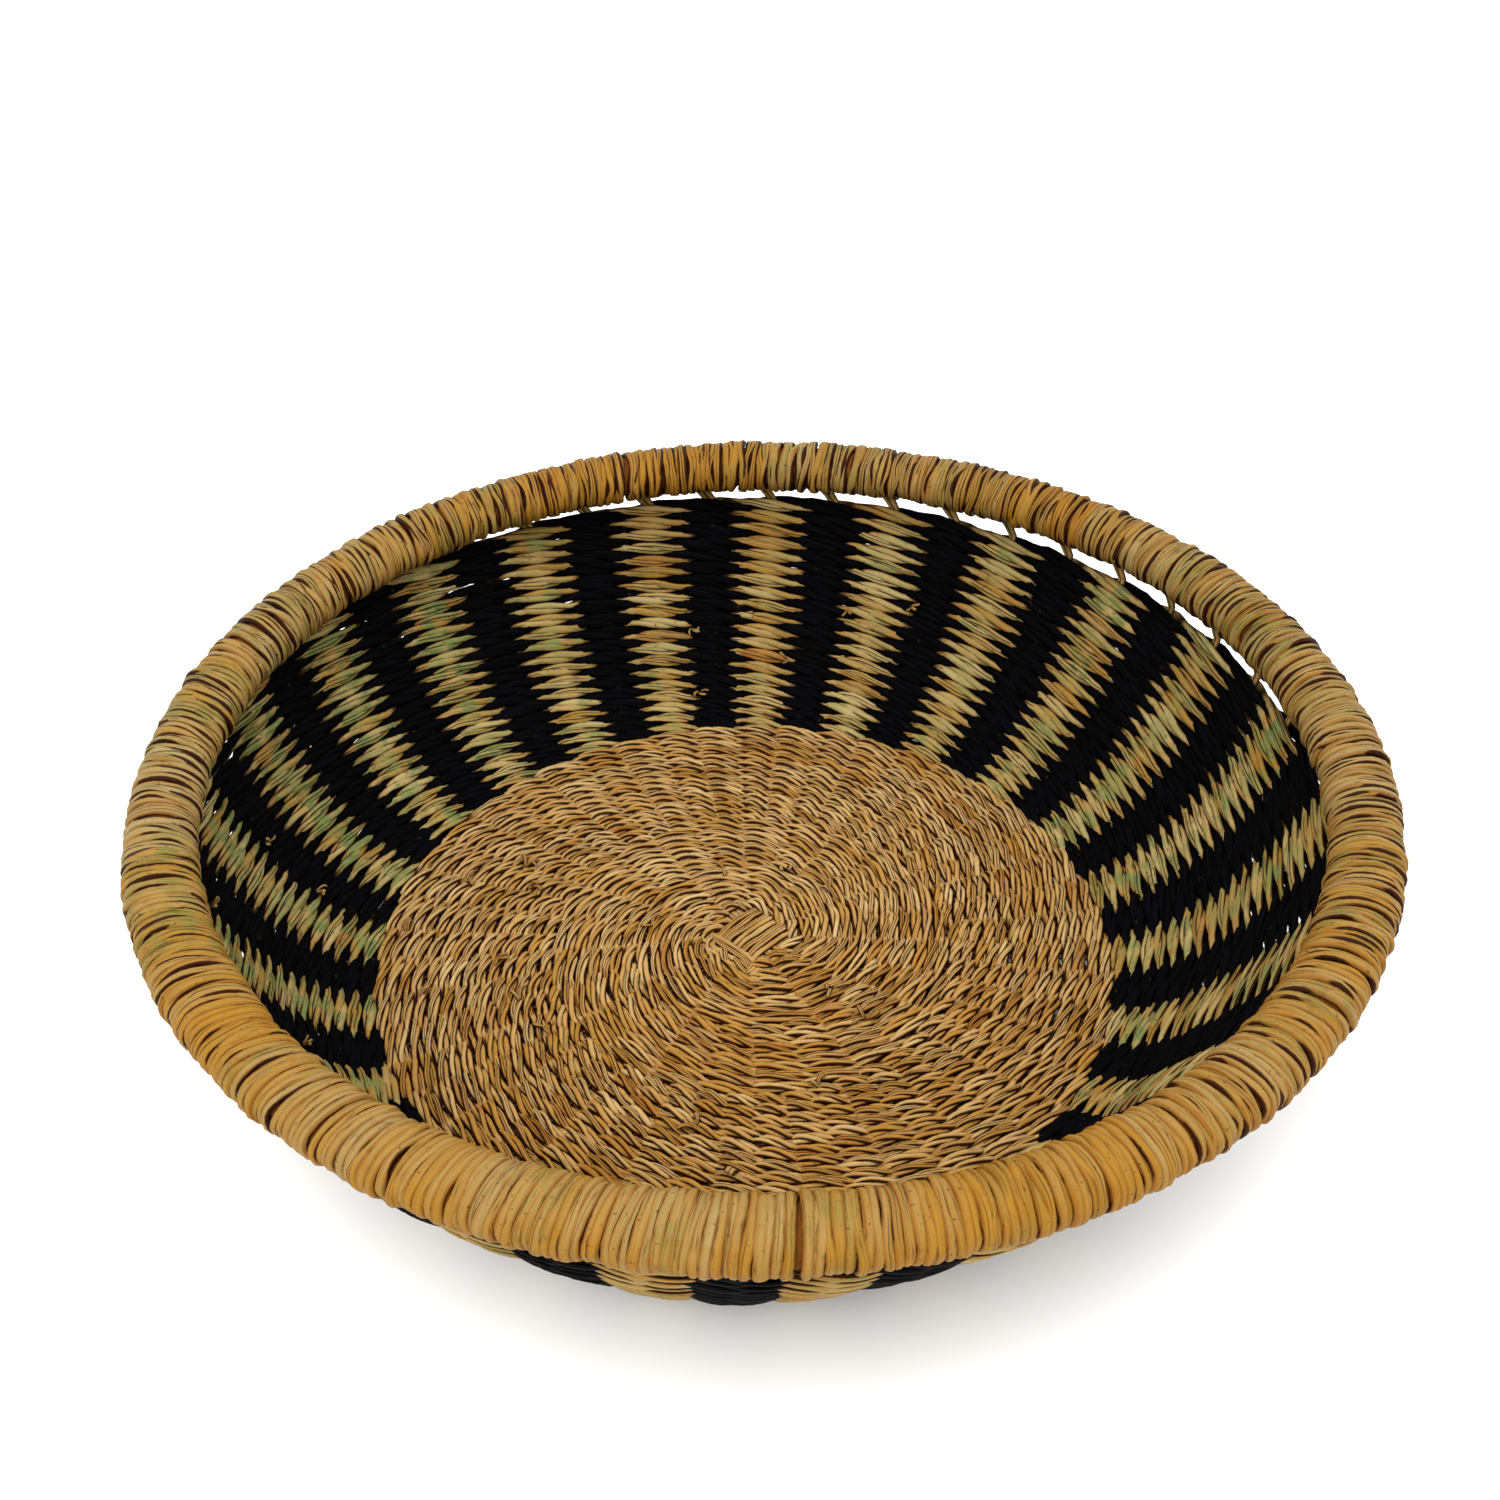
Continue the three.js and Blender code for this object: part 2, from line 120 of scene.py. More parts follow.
def wall_profile():
    """The middle of the wall from the bowl's middle to just above its top row, a sample a millimetre."""
    top = Vector((RIM_RADIUS - TOP_INSET, RIM_HEIGHT - RIM_DEPTH / 2 - OPEN_BAND))
    foot = Vector((BASE_RADIUS, HALF_WALL))
    run, rise = top - foot
    low_handle = foot + Vector((BASE_HANDLE * run, 0))
    high_handle = top - Vector((RIM_HANDLE * run, RIM_HANDLE_RISE * rise))
    side = geometry.interpolate_bezier(foot, low_handle, high_handle, top, SIDE_SAMPLES)
    above = top + (top - side[-2]).normalized() * ABOVE_TOP
    middle = Vector((0, HALF_WALL + REST_RADIUS * DOME_SLOPE))
    line = np.array([middle, Vector((REST_RADIUS, HALF_WALL)), *side, above])
    steps = np.hypot(*np.diff(line, axis=0).T)
    along = np.concatenate([[0], np.cumsum(steps)])
    arc = np.arange(0, along[-1], MM)
    radius = np.interp(arc, along, line[:, 0])
    height = np.interp(arc, along, line[:, 1])
    slope = np.arctan2(np.gradient(height), np.gradient(radius))
    return arc, radius, height, evened(slope, SLOPE_SAMPLES)


WALL_ARC, WALL_RADIUS, WALL_HEIGHT, WALL_SLOPE = wall_profile()
SIDE_FOOT = np.interp(BASE_RADIUS, WALL_RADIUS, WALL_ARC)
SIDE_START = 129 * MM
SIDE_END = WALL_ARC[-1] - ABOVE_TOP


def dent_depth(angle):
    """How far the dents push the side in at its middle height."""
    depth = np.zeros_like(angle)
    for middle, deepest in DENTS:
        away = (angle - middle + math.pi) % TURN - math.pi
        depth += deepest * np.exp(-((away / DENT_SPREAD) ** 2))
    return depth


def wall_at(arc, angle, rise):
    """Points that stand a rise off the middle of the wall, into the bowl, with the wall's normal there."""
    radius = np.interp(arc, WALL_ARC, WALL_RADIUS)
    height = np.interp(arc, WALL_ARC, WALL_HEIGHT)
    slope = np.interp(arc, WALL_ARC, WALL_SLOPE)
    side = SIDE_END - SIDE_FOOT
    share = np.clip((arc - SIDE_FOOT) / side, 0, 1)
    depth = dent_depth(angle)
    radius = radius - depth * np.sin(math.pi * share) ** 2
    run = np.cos(slope) - depth * math.pi * np.sin(TURN * share) / side
    climb = np.sin(slope)
    normal = unit(np.stack([-climb * np.cos(angle), -climb * np.sin(angle), run], axis=1))
    point = np.stack([radius * np.cos(angle), radius * np.sin(angle), height], axis=1)
    return point + rise[:, None] * normal, normal


def settle(points):
    """The bowl leans: its base lies off the rim's middle, and the rim rides up in front."""
    share = points[:, 2] / RIM_HEIGHT
    front = np.clip(-points[:, 1] / np.hypot(points[:, 0], points[:, 1]), 0, 1) ** 2
    points[:, 0] -= SETTLED_LEFT * (1 - share)
    points[:, 1] += SETTLED_BACK * (1 - share)
    points[:, 2] = np.maximum(points[:, 2] + FRONT_LIFT * front * share, FLOOR_GAP)
    return points


CLOSEST_ANGLE = math.radians(150)
CLOSER_EVERYWHERE, CLOSER_THERE = 0.4 * MM, 3.4 * MM


def closeness(angle):
    """How much further the top rows come up to the rim, most of all at the back on the left."""
    near = 0.5 + 0.5 * np.cos(angle - CLOSEST_ANGLE)
    return CLOSER_EVERYWHERE + CLOSER_THERE * near**2


# Handmade unevenness

def wander(count, period, amount):
    """A smooth random line of a count of samples that swings by about an amount in a period of samples."""
    knots = rng.uniform(-1, 1, int(count / period) + 4)
    at = np.arange(count) / period
    cell = at.astype(int)
    part = at - cell
    part = part * part * (3 - 2 * part)
    return amount * (knots[cell] * (1 - part) + knots[cell + 1] * part)


HELD = 0.88  # of a stitch, before its value starts to change to the next one's


def by_stitch(beat, draw):
    """A value drawn for each stitch, which changes where the strands cross and a stitch ends."""
    at = beat / math.pi + 0.5 - math.floor(beat[0] / math.pi + 0.5)
    cell = at.astype(int)
    part = np.clip((at - cell - HELD) / (1 - HELD), 0, 1)
    held = draw(cell.max() + 2)
    return held[cell] * (1 - part) + held[cell + 1] * part


def evenly(low, high):
    """Any value between two, all as likely."""
    return lambda count: rng.uniform(low, high, count)


def here_and_there(share, low, high):
    """Nothing, except at a share of the stitches."""
    return lambda count: (rng.random(count) < share) * rng.uniform(low, high, count)


def unit(vectors):
    return vectors / np.linalg.norm(vectors, axis=1)[:, None]


# Blades of grass

@dataclass
class Blade:
    """The path of a blade with its width direction, its face direction and its marks at each ring."""
    centre: np.ndarray
    across: np.ndarray
    face: np.ndarray
    width: np.ndarray
    thickness: np.ndarray
    rise: np.ndarray
    tone: np.ndarray
    green: np.ndarray
    russet: np.ndarray
    crease: np.ndarray
    # edges: how strongly a painted shade darkens the blade's edges where it meets its neighbours
    edges: np.ndarray


CREASE_WIDTH = 0.35
CRINKLE = 0.05


def positions(mesh):
    flat = np.empty(len(mesh.vertices) * 3, np.float32)
    mesh.vertices.foreach_get("co", flat)
    return flat.reshape(-1, 3)


def keep_marks(mesh, marks):
    """The marks at each point, which the finishes read."""
    for mark, values in marks.items():
        held = mesh.attributes.get(mark) or mesh.attributes.new(mark, "FLOAT", "POINT")
        held.data.foreach_set("value", values.astype(np.float32))


def lay_grain(mesh, blade):
    """A map in metres along and around the blade.

    It gives the blade's strip: its length up to each ring, its girth, and each corner's ring and its
    place around the blade.
    """
    step = np.linalg.norm(np.diff(blade.centre, axis=0), axis=1)
    length = np.concatenate([[0], np.cumsum(step)])
    girth = 2 * (blade.width.mean() + blade.thickness.mean())
    uv = np.empty(len(mesh.loops) * 2, np.float32)
    grain = mesh.uv_layers["Grain"]
    grain.uv.foreach_get("vector", uv)
    uv = uv.reshape(-1, 2)
    along = np.rint(uv[:, 0] * (len(length) - 1)).astype(int)
    real = np.stack([length[along], uv[:, 1] * girth], axis=1)
    grain.uv.foreach_set("vector", real.astype(np.float32).ravel())
    return length, girth, along, uv[:, 1]


def roll(mesh, blade, sides):
    """A flat grid of rings by sides, rolled into a tube round the blade's path. It gives the strip."""
    rings = len(blade.centre)
    sheet = bmesh.new()
    sheet.loops.layers.uv.new("Grain")
    bmesh.ops.create_grid(sheet, x_segments=rings - 1, y_segments=sides, size=1, calc_uvs=True)
    sheet.to_mesh(mesh)
    sheet.free()
    flat = positions(mesh)
    ring = np.rint((flat[:, 0] + 1) / 2 * (rings - 1)).astype(int)
    side = np.rint((flat[:, 1] + 1) / 2 * sides).astype(int) % sides
    sideways = np.cos(side * TURN / sides)
    outward = np.sin(side * TURN / sides)
    fold = blade.crease[ring] * (outward > 0)
    uneven = rng.normal(1, CRINKLE, (rings, sides))[ring, side]
    pressed = 1 - fold * np.exp(-((sideways / CREASE_WIDTH) ** 2))
    half_width = blade.width[ring] / 2 * uneven
    half_thickness = blade.thickness[ring] / 2 * uneven * pressed
    points = blade.centre[ring] + (sideways * half_width)[:, None] * blade.across[ring]
    points += (outward * half_thickness)[:, None] * blade.face[ring]
    mesh.vertices.foreach_set("co", settle(points).astype(np.float32).ravel())
    rise = blade.rise[ring] + outward * half_thickness
    keep_marks(mesh, {
        "tone": blade.tone[ring],
        "green": blade.green[ring],
        "russet": blade.russet[ring],
        "side": sideways,
        "fold": fold,
        "edges": blade.edges[ring],
        # How deep in the wall a point lies: the finishes paint shade between blades by it, and warm the
        # tips
        "sunk": np.clip(1 - np.abs(rise) / HALF_WALL, 0, 1),
    })
    return lay_grain(mesh, blade)


BAND_MARGIN = 0.08
BAND_SPARE, SQUARE_SPARE = 1.02, 1.01


def bake_map(strips):
    """A second map with no overlaps: every blade is cut into bands of one length, stacked up the square."""
    area = sum(length[-1] * girth for length, girth, _, _ in strips)
    reach = math.sqrt(area) * BAND_SPARE
    places, row = [], 0
    for length, girth, along, around in strips:
        first = along.reshape(-1, 4).min(axis=1)
        band = np.floor(length[first] / reach).astype(int)
        start = np.repeat(band * reach, 4)
        places.append(np.stack([length[along] - start, row + np.repeat(band, 4) + around], axis=1))
        row += band.max() + 1
    places = np.concatenate(places)
    places[:, 0] /= places[:, 0].max() * SQUARE_SPARE
    whole = np.floor(places[:, 1] - 1e-6)
    part = places[:, 1] - whole
    places[:, 1] = (whole + BAND_MARGIN + part * (1 - 2 * BAND_MARGIN)) / row
    return places


def add_piece(mesh, nodes):
    """The finished piece, in the place of the nodes that it stands for."""
    piece = bpy.data.objects.new(mesh.name, mesh)
    bpy.context.scene.collection.objects.link(piece)
    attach(piece, "root")
    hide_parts(*nodes)


def grass_piece(name, blades, sides, material, nodes):
    """One piece of many blades, each closed along its seam and at both ends."""
    whole = bmesh.new()
    mesh = bpy.data.meshes.new(name)
    strips = []
    for blade in blades:
        strips.append(roll(mesh, blade, sides))
        whole.from_mesh(mesh)
    whole.to_mesh(mesh)
    layer = mesh.uv_layers.new(name="OFBake", do_init=False)
    layer.uv.foreach_set("vector", bake_map(strips).astype(np.float32).ravel())
    whole.clear()
    whole.from_mesh(mesh)
    edge = [v for v in whole.verts if v.is_boundary]
    bmesh.ops.remove_doubles(whole, verts=edge, dist=1e-6)
    bmesh.ops.holes_fill(whole, edges=[e for e in whole.edges if e.is_boundary], sides=sides)
    bmesh.ops.recalc_face_normals(whole, faces=whole.faces)
    whole.to_mesh(mesh)
    whole.free()
    mesh.shade_smooth()
    mesh.materials.append(material)
    add_piece(mesh, nodes)


# Weft

@dataclass
class Rows:
    """A zone of twined rows that climb as one spiral round groups of stakes.

    Turns are counted from the weave's turn. Each stitch has so many steps, and a strand passes its reach
    above and below the middle of the wall.
    """
    groups: int
    first_turn: float
    last_turn: float
    start: float
    end: float
    steps: int
    reach: float
    unevenness: float = 1.0
    to_rim: bool = False

    @property
    def pitch(self):
        """The distance along the wall from one row to the next."""
        return (self.end - self.start) / (self.last_turn - self.first_turn)


@dataclass
class Twist:
    """How a strand is twisted from its plies.

    The plies change places by a shift along the wall and a lift through it. The waist is how much
    narrower they are at the ends of a stitch.
    """
    plies: int
    width: float
    thickness: float
    shift: float
    lift: float
    waist: float


BASE_TWIST = Twist(
    plies=3, width=2.15 * MM, thickness=1.9 * MM, shift=1.2 * MM, lift=0.95 * MM, waist=0.0
)
NATURAL_TWIST = Twist(
    plies=2, width=3.25 * MM, thickness=1.6 * MM, shift=1.15 * MM, lift=0.8 * MM, waist=0.2
)
BLACK_TWIST = Twist(
    plies=2, width=3.5 * MM, thickness=1.6 * MM, shift=1.35 * MM, lift=0.8 * MM, waist=-0.16
)

SQUARENESS = 0.09
SQUARE_REACH, SQUARE_FADE = 34 * MM, 20 * MM


def hug_plait(arc, angle):
    """The innermost rows follow the square plait, and the next ones round off."""
    square = np.cos(4 * (angle - WEAVE_TURN)) * np.clip((SQUARE_REACH - arc) / SQUARE_FADE, 0, 1)
    return arc * (1 - SQUARENESS * square)


# How unevenly a strand is coloured, twisted and laid
# The third of these paints the tone deeper towards the front: a painted shade, where the rim shades the
# inside of the bowl
TONES, PLY_TONE_SPREAD, FRONT_PAINTED_SHADE = (0.1, 0.9), 0.3, 0.3
GREEN_SPREAD = 0.35
RUSSET_SHARE, RUSSETS = 0.06, (0.4, 1)
CREASED_SHARE, CREASES = 0.35, (0.3, 0.6)
DRIFT, LEAN, PLY_DRIFT, PLY_RISE = 0.45 * MM, 0.35 * MM, 0.25 * MM, 0.15 * MM
ROLLED_OVER = 16  # degrees
GIRTH_SPREAD, THICKNESS_SPREAD = 0.14, 0.12


def strand(rows, twist, order, first_turn, last_turn, greenness):
    """The plies of one strand of a twined pair between two turns of the spiral."""
    spacing = TURN / rows.groups
    first_group = WEAVE_TURN + (spacing / 2 if rows.groups // 4 % 2 == 0 else 0)
    count = int((last_turn - first_turn) * rows.groups * rows.steps) + 1
    turn = np.linspace(first_turn, last_turn, count)
    angle = WEAVE_TURN + turn * TURN
    beat = np.pi * (angle - first_group) / spacing
    arc = rows.start + (turn - rows.first_turn) * rows.pitch
    if rows.to_rim:
        arc += closeness(angle) * (turn - rows.first_turn) / (rows.last_turn - rows.first_turn)
    swing = rows.pitch / 4
    # Deeper towards the front: a painted shade from the rim
    tone = by_stitch(beat, evenly(*TONES)) - FRONT_PAINTED_SHADE * np.minimum(np.sin(angle), 0)
    green = greenness(angle) + by_stitch(beat, evenly(-GREEN_SPREAD, GREEN_SPREAD))
    russet = by_stitch(beat, here_and_there(RUSSET_SHARE, *RUSSETS))
    drift = wander(count, 2.2 * rows.steps, DRIFT * rows.unevenness)
    lean = by_stitch(beat, evenly(-LEAN, LEAN)) * rows.unevenness
    girth = by_stitch(beat, evenly(1 - GIRTH_SPREAD, 1 + GIRTH_SPREAD))
    plies = []
    for ply in range(twist.plies):
        phase = beat + ply * TURN / twist.plies
        turned = np.cos(phase)
        if twist.plies == 2:
            # Two plies stay together for longer where they cross, so each stitch ends in a point
            turned = turned * np.sqrt(np.abs(turned))
        rise = order * rows.reach * np.cos(beat) - twist.lift * np.sin(phase)
        rise += wander(count, 1.4 * rows.steps, PLY_RISE)
        climb = order * swing * np.sin(beat) + twist.shift * turned
        climb += drift + lean * np.sin(beat) + wander(count, rows.steps, PLY_DRIFT * rows.unevenness)
        centre, face = wall_at(hug_plait(arc + climb, angle), angle, rise)
        along = unit(np.gradient(centre, axis=0))
        across = unit(np.cross(face, along))
        face = unit(np.cross(along, across))
        roll_over = np.radians(wander(count, 1.2 * rows.steps, ROLLED_OVER))[:, None]
        rolled_across = across * np.cos(roll_over) + face * np.sin(roll_over)
        rolled_face = face * np.cos(roll_over) - across * np.sin(roll_over)
        slim = 1 - twist.waist * np.sin(beat) ** 2
        own_girth = 1 + by_stitch(beat, evenly(-GIRTH_SPREAD, GIRTH_SPREAD))
        width = twist.width * slim * girth * own_girth
        thickness = twist.thickness * (1 + wander(count, 1.1 * rows.steps, THICKNESS_SPREAD))
        own_tone = np.clip(tone + by_stitch(beat, evenly(-PLY_TONE_SPREAD, PLY_TONE_SPREAD)), 0, 1)
        crease = by_stitch(beat, here_and_there(CREASED_SHARE, *CREASES))
        marks = (rise, own_tone, green, russet, crease, np.ones(count))
        plies.append(Blade(centre, rolled_across, rolled_face, width, thickness, *marks))
    return plies


# Where strands end and stand out of the weave, as degrees round the bowl and millimetres from its middle
BASE_ENDS = (
    (182.7, 88), (198, 82), (209, 78), (158.6, 86), (161, 110), (191, 115), (175, 122), (151.6, 94),
    (-102, 84), (-71, 71), (-108, 110), (102.5, 37), (166.7, 35), (-40.6, 37), (-43.5, 54),
    (39.6, 38), (71, 40),
)
SIDE_ENDS = (
    (98.5, 175.6), (84.5, 161.5), (68.5, 190), (98, 148), (77, 184.5), (189, 205), (173, 187), (173.5, 160),
    (203, 168),
)
CUT_END = (-92.3, 99)
CUT_LENGTH, CUT_WIDTH = 4 * MM, 4.2 * MM
END_RINGS = 10
END_THICKNESS = 0.9 * MM
END_FOOT, END_RISE, END_ARCH = 1.6 * MM, 2.6 * MM, 2.2
END_TONES, END_RUSSET, END_CREASE = (0.3, 0.9), 0.3, 0.3
END_CURL = 2.5
SHORTEST_END, NARROWEST_END = 0.5, 0.58  # shares of the longest and the widest


def loose_end(degrees, arc, length, width, curl):
    """The end of a blade that curls out of the weave and back down to it."""
    part = np.linspace(0, 1, END_RINGS)
    turned = rng.uniform(0, TURN) + curl * part
    step = length / END_RINGS
    arcs = arc * MM + np.cumsum(np.cos(turned)) * step
    angle = math.radians(degrees) + np.cumsum(np.sin(turned)) * step / (arc * MM)
    rise = END_FOOT + END_RISE * np.sin(END_ARCH * part)
    centre, face = wall_at(arcs, angle, rise)
    along = unit(np.gradient(centre, axis=0))
    across = unit(np.cross(face, along))
    face = unit(np.cross(along, across))
    even = np.ones(END_RINGS)
    tone = rng.uniform(*END_TONES)
    marks = (rise, tone * even, 0 * even, END_RUSSET * even, END_CREASE * even, even)
    return Blade(centre, across, face, width * even, END_THICKNESS * even, *marks)


def loose_ends(places, low, high, longest, widest):
    """A tuft of two or three ends at each place between two distances from the bowl's middle."""
    tufts = []
    for degrees, arc in places:
        if not low <= arc * MM < high:
            continue
        for _ in range(rng.integers(2, 4)):
            length = rng.uniform(SHORTEST_END, 1) * longest
            width = rng.uniform(NARROWEST_END, 1) * widest
            tufts.append(loose_end(degrees, arc, length, width, rng.uniform(-END_CURL, END_CURL)))
    return tufts


# The spiral of rows passes from bundles to pairs and from pairs to singles where both stitches meet
PAIR_TURN = 5 + 15 / 360
SINGLE_TURN = 12
SIDE_TURN = SINGLE_TURN + 13 + (270 - WEAVE_DEGREES) / 360  # the side starts at the front
TOP_TURN = SIDE_TURN + 19
LOWER_TURN = (SIDE_TURN + TOP_TURN) / 2
BASE_REACH = 1.5 * MM
SIDE_REACH = 1.75 * MM
TOP_STRAND = 1.5 * MM

bundle_rows = Rows(
    BUNDLE_ENDS, 0, PAIR_TURN, BUNDLE_ROWS_START, PAIR_ROWS_START, steps=16, reach=BASE_REACH
)
pair_rows = Rows(
    PAIR_ENDS, PAIR_TURN, SINGLE_TURN, PAIR_ROWS_START, SINGLE_ROWS_START, steps=10, reach=BASE_REACH
)
single_rows = Rows(
    STAKE_ENDS, SINGLE_TURN, SIDE_TURN, SINGLE_ROWS_START, SIDE_START, steps=7, reach=BASE_REACH
)
side_rows = Rows(
    STAKE_ENDS, SIDE_TURN, TOP_TURN, SIDE_START, SIDE_END - TOP_STRAND, steps=8, reach=SIDE_REACH,
    unevenness=0.8, to_rim=True,
)


def base_green(angle):
    """The base is straw all over, with hardly any green."""
    return np.full_like(angle, -0.1)


def side_green(angle):
    """The natural weft is greener at the sides than at the back, most of all on the left."""
    return 0.1 + 0.8 * np.abs(np.cos(angle)) - 0.15 * np.cos(angle)


# Stakes

def over_the_other_way(bundle, crossed):
    """Whether a bundle of the first way lies on top where it meets a bundle of the second way."""
    return (bundle >= 0) == (crossed >= 0)


def plait_rises(first_way, bundle):
    """How high a stake lies at each bundle of the other way that it crosses, in its own direction."""
    half = (BUNDLES_PER_WAY - 1) // 2
    places = range(-half, half + 1)
    if first_way:
        return [PLAIT_RISE if over_the_other_way(bundle, other) else -PLAIT_RISE for other in places]
    return [-PLAIT_RISE if over_the_other_way(other, -bundle) else PLAIT_RISE for other in places]


HIDDEN_SAMPLES = 50
HIDDEN_WIDTH, HIDDEN_THICKNESS = 1.6 * MM, 0.9 * MM
TIE_SAMPLES = 5
TIE_WIDTHS, TIE_THICKNESSES = (3.2 * MM, 5.4 * MM), (2 * MM, 3 * MM)
# A tie shows by a share of the wall's half depth, so it takes little painted shade, and its edge line of
# painted shade is a little fainter
TIE_SHOWN, TIE_TONE, TIE_GREEN, TIE_CREASE, TIE_EDGES = 0.75, 0.2, 0.8, 0.5, 0.85
TAIL_SHARES = (0.25, 0.6, 1)
TAIL_WIDTH, TAIL_THICKNESS = 3 * MM, 1.5 * MM


def along_arm(hidden, tie, tail):
    """Values for an arm of a stake: hidden in the wall, bare in the open band, and under the core."""
    bare = np.linspace(*tie, TIE_SAMPLES + 2)
    return np.concatenate([np.full(HIDDEN_SAMPLES - 2, hidden), bare, np.full(len(TAIL_SHARES), tail)])


def stake_arm(way, place, out, sideways):
    """A stake from where it leaves the plait to its tail under the rim's core."""
    rank = place % STAKES_PER_BUNDLE
    bundle_angle = way + (place // STAKES_PER_BUNDLE - 1) * TURN / BUNDLE_ENDS
    in_bundle = rank - (STAKES_PER_BUNDLE - 1) / 2
    pair_angle = bundle_angle + (rank // 2 - 0.5) * 2 * END_SPACING
    single = bundle_angle + in_bundle * END_SPACING
    stops = [math.hypot(out, sideways), BUNDLE_ROWS_START, PAIR_ROWS_START, SINGLE_ROWS_START]
    turns = [
        way + math.atan2(sideways, out),
        bundle_angle + in_bundle * STAKE_PITCH / BUNDLE_ROWS_START,
        pair_angle + (rank % 2 - 0.5) * STAKE_PITCH / PAIR_ROWS_START,
        single,
    ]
    arc = np.linspace(stops[0], SIDE_END, HIDDEN_SAMPLES)
    centre, face = wall_at(arc, np.interp(arc, stops, turns), np.zeros_like(arc))
    radial = np.array([math.cos(single), math.sin(single), 0])
    onward = np.array([-radial[1], radial[0], 0])
    lean = np.linspace(0, 1, TIE_SAMPLES + 1)[1:]
    run = np.concatenate([LEAN_RUN * lean, LEAN_RUN + TAIL_RUN * np.array(TAIL_SHARES)])
    top = centre[-1, 2]
    height = np.pad(top + (TAIL_HEIGHT - top) * lean, (0, len(TAIL_SHARES)), mode="edge")
    radius = np.interp(height, [top, TAIL_HEIGHT], [RIM_RADIUS - TOP_INSET, RIM_RADIUS])
    end = (radius - run**2 / (2 * RIM_RADIUS))[:, None] * radial + run[:, None] * onward
    end[:, 2] = height
    centre = np.concatenate([centre, end])
    face = np.concatenate([face, np.tile(-radial, (len(end), 1))])
    width = along_arm(HIDDEN_WIDTH, TIE_WIDTHS, TAIL_WIDTH)
    thickness = along_arm(HIDDEN_THICKNESS, TIE_THICKNESSES, TAIL_THICKNESS)
    return centre, face, width, thickness, along_arm(0, (TIE_SHOWN, TIE_SHOWN), 0)


PLAIT_RINGS = 41
PLAIT_FLAT = 0.28
PLAIT_OVERLAP = 1.14
PLAIT_THICKNESS = 2.2 * MM
PLAIT_EASING = 7  # rings
PLAIT_JITTER = 0.2 * MM
PLAIT_STRAY, PLAIT_UNEVEN = 0.5 * MM, 0.3 * MM
PLAIT_TONE, PLAIT_TONE_SPREAD, PLAIT_CREASE = 0.35, 0.4, 0.35
STAKE_SPREAD = 0.14


def plaited_part(way, place, first_way):
    """A stake in the plait, over and under the other way's bundles, and how far to the left it lies."""
    bundle = place // STAKES_PER_BUNDLE - 1
    step, other_step = PLAIT_STEPS if first_way else PLAIT_STEPS[::-1]
    ahead, left = (PLAIT_ALONG, PLAIT_LEFT) if first_way else (PLAIT_LEFT, -PLAIT_ALONG)
    in_bundle = place % STAKES_PER_BUNDLE - (STAKES_PER_BUNDLE - 1) / 2
    pitch = step / STAKES_PER_BUNDLE
    sideways = bundle * step + in_bundle * pitch + left + rng.uniform(-PLAIT_JITTER, PLAIT_JITTER)
    out = np.linspace(-PLAIT_REACH, PLAIT_REACH, PLAIT_RINGS)
    crossings = np.arange(-1, 2) * other_step + ahead
    flat = PLAIT_FLAT * other_step
    rise = np.interp(
        out,
        [-2 * PLAIT_REACH, *np.stack([crossings - flat, crossings + flat], axis=1).ravel(), PLAIT_REACH],
        [0, *np.repeat(plait_rises(first_way, bundle), 2), 0],
    )
    rise = evened(rise, PLAIT_EASING) + wander(PLAIT_RINGS, 8, PLAIT_UNEVEN)
    astray = sideways + wander(PLAIT_RINGS, 12, PLAIT_STRAY)
    centre, face = wall_at(np.hypot(out, astray), way + np.arctan2(astray, out), rise)
    even = np.ones(PLAIT_RINGS)
    return (centre, face, PLAIT_OVERLAP * pitch * even, PLAIT_THICKNESS * even, even), sideways


def stake(way, place, first_way):
    """A stake from tail to tail: an arm, its part in the plait, and the other arm."""
    plaited, sideways = plaited_part(way, place, first_way)
    front = stake_arm(way, place, PLAIT_REACH, sideways)
    back = stake_arm(way + math.pi, STAKES_PER_WAY - 1 - place, PLAIT_REACH, -sideways)
    joined = [np.concatenate([b[::-1], m, f]) for b, m, f in zip(back, plaited, front)]
    centre, face, width, thickness, shown = joined
    along = unit(np.gradient(centre, axis=0))
    across = unit(np.cross(face, along))
    face = unit(np.cross(along, across))
    count = len(centre)
    width = width * (1 + wander(count, 7, STAKE_SPREAD))
    in_plait = shown == 1
    tone = np.clip(PLAIT_TONE + wander(count, 12, PLAIT_TONE_SPREAD), 0, 1)
    tone = np.where(in_plait, tone, TIE_TONE)
    green = np.where(in_plait, 0, TIE_GREEN)
    crease = np.where(in_plait, rng.choice([0, PLAIT_CREASE]), TIE_CREASE)
    edges = np.where(in_plait, 1, TIE_EDGES)
    # Where a stake is hidden in the wall or under the core its rise is nothing, so its finish paints it
    # dark with shade; in the plait and the open band it stays light
    marks = (shown * HALF_WALL, tone, green, np.zeros(count), crease, edges)
    return Blade(centre, across, face, width, thickness, *marks)


# Finishes

STUDIO_GAIN = 1.5


def srgb(red, green, blue):
    """The linear colour of a surface that looks like this on a screen, in this studio's light."""
    linear = (((c / 255 + 0.055) / 1.055) ** 2.4 if c > 10 else c / 255 / 12.92 for c in (red, green, blue))
    return (*(c / STUDIO_GAIN for c in linear), 1)


